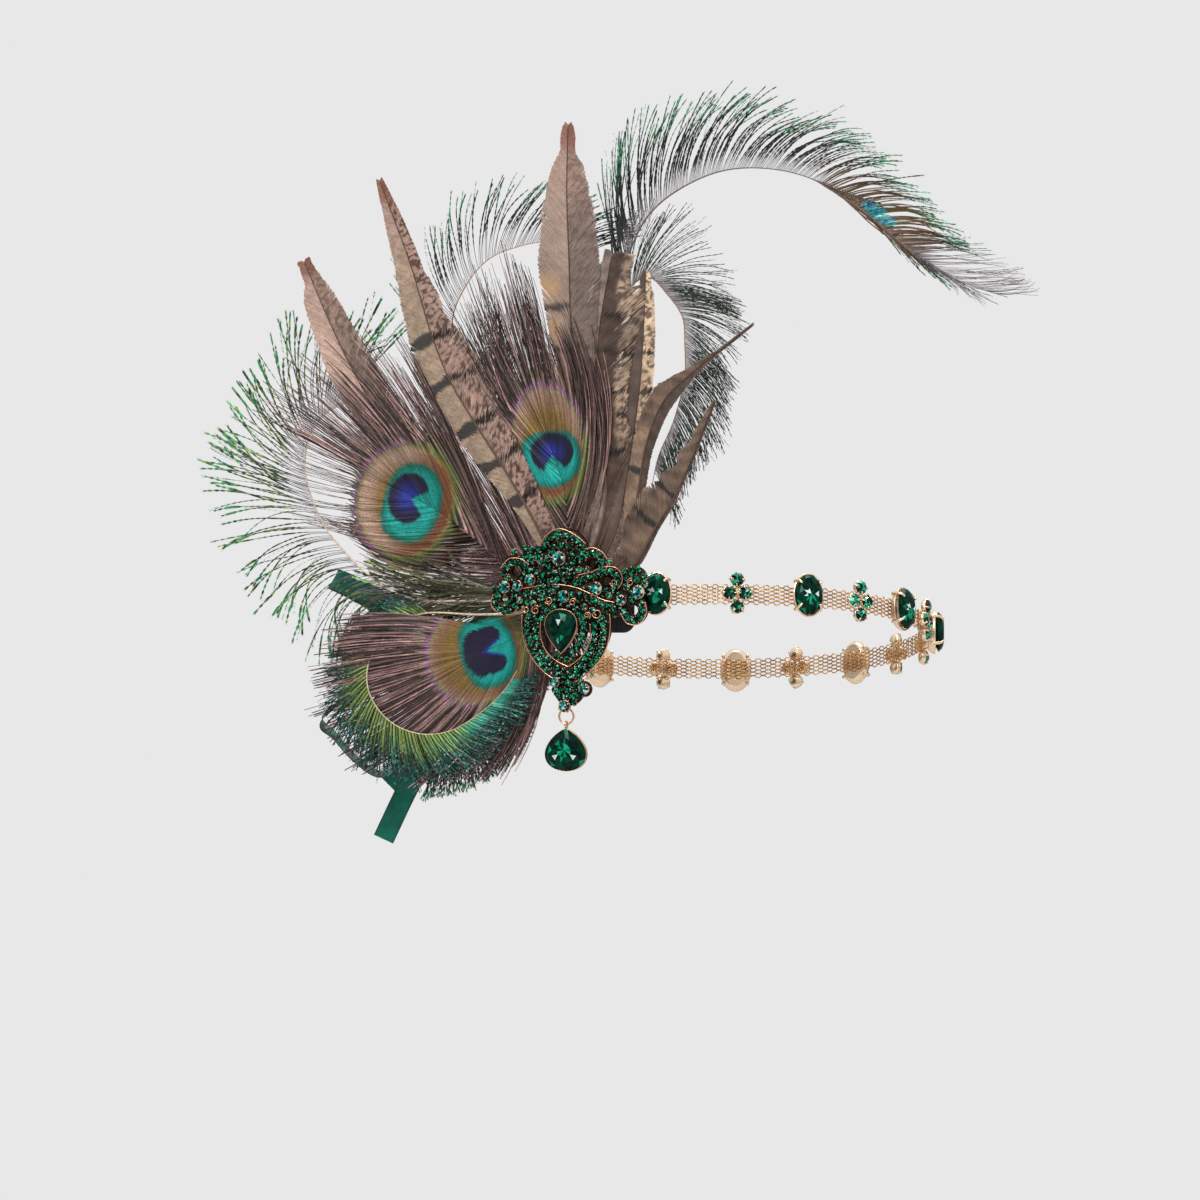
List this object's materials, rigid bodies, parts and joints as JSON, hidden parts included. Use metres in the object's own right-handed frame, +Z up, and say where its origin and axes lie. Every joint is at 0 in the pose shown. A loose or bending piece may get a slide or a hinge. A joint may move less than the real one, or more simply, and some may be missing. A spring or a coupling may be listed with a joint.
{
  "type": "flapper headpiece",
  "caption": "Feathered headpiece: a jewelled gilt mesh band tied with a satin ribbon bow, with a stone-set brooch, a hanging drop and a spray of peacock and pheasant feathers.",
  "frame": {"origin": "centre of the head loop, where a head carries the headpiece", "axes": "+Z up along the wearer's head, -Y towards the brooch side, +X towards the forehead end of the band"},
  "size_m": [0.366, 0.237, 0.3406],
  "materials": {
    "gilt_mesh": "woven gilt wire, bright",
    "gilt_metal": "polished gilt",
    "emerald_glass": "faceted foil-backed glass",
    "black_felt": "matt felt",
    "pheasant_feather": "barred taupe feather vane",
    "peacock_eye": "iridescent feather eye",
    "peacock_herl": "iridescent loose barbs",
    "satin_ribbon": "satin weave with a corded edge"
  },
  "bodies": {
    "root": {"mesh_band_near": "gilt_mesh", "mesh_band_far": "gilt_mesh", "oval_setting_1": "gilt_metal", "oval_setting_2": "gilt_metal", "oval_setting_3": "gilt_metal", "oval_setting_4": "gilt_metal", "oval_setting_5": "gilt_metal", "oval_setting_6": "gilt_metal", "oval_setting_7": "gilt_metal", "brooch_frame": "gilt_metal", "oval_stone_1": "emerald_glass", "oval_stone_2": "emerald_glass", "oval_stone_3": "emerald_glass", "oval_stone_4": "emerald_glass", "oval_stone_5": "emerald_glass", "oval_stone_6": "emerald_glass", "oval_stone_7": "emerald_glass", "cross_cluster_1": "emerald_glass", "cross_cluster_2": "emerald_glass", "cross_cluster_3": "emerald_glass", "cross_cluster_4": "emerald_glass", "cross_cluster_5": "emerald_glass", "cross_cluster_6": "emerald_glass", "cross_cluster_7": "emerald_glass", "pear_stone": "emerald_glass", "felt_backing": "black_felt", "pheasant_feather_1": "pheasant_feather", "pheasant_feather_2": "pheasant_feather", "pheasant_feather_3": "pheasant_feather", "pheasant_feather_4": "pheasant_feather", "pheasant_feather_5": "pheasant_feather", "pheasant_feather_6": "pheasant_feather", "pheasant_small_1": "pheasant_feather", "pheasant_small_2": "pheasant_feather", "peacock_eye_feather_1": "peacock_eye", "peacock_eye_feather_2": "peacock_eye", "peacock_eye_feather_3": "peacock_eye", "herl_plume_1": "peacock_herl", "herl_plume_2": "peacock_herl", "herl_plume_3": "peacock_herl", "herl_plume_4": "peacock_herl", "herl_plume_5": "peacock_herl", "herl_plume_6": "peacock_herl", "ribbon_near": "satin_ribbon", "ribbon_far": "satin_ribbon", "bow_knot": "satin_ribbon", "bow_loop_upper": "satin_ribbon", "bow_loop_lower": "satin_ribbon", "ribbon_tail_long": "satin_ribbon", "ribbon_tail_short": "satin_ribbon"},
    "drop_link": {"drop_jump_ring": "gilt_metal"},
    "drop": {"drop_setting": "gilt_metal", "drop_stone": "emerald_glass"}
  },
  "joints": [
    {"name": "drop_side_swing", "type": "hinge", "parent": "root", "child": "drop_link", "pos_m": [-0.06666, -0.07883, -0.035], "axis": [0.342, 0.9397, 0], "range_deg": [-40, 40]},
    {"name": "drop_front_swing", "type": "hinge", "parent": "drop_link", "child": "drop", "pos_m": [-0.06666, -0.07883, -0.04065], "axis": [-0.9397, 0.342, 0], "range_deg": [-10, 45]}
  ]
}
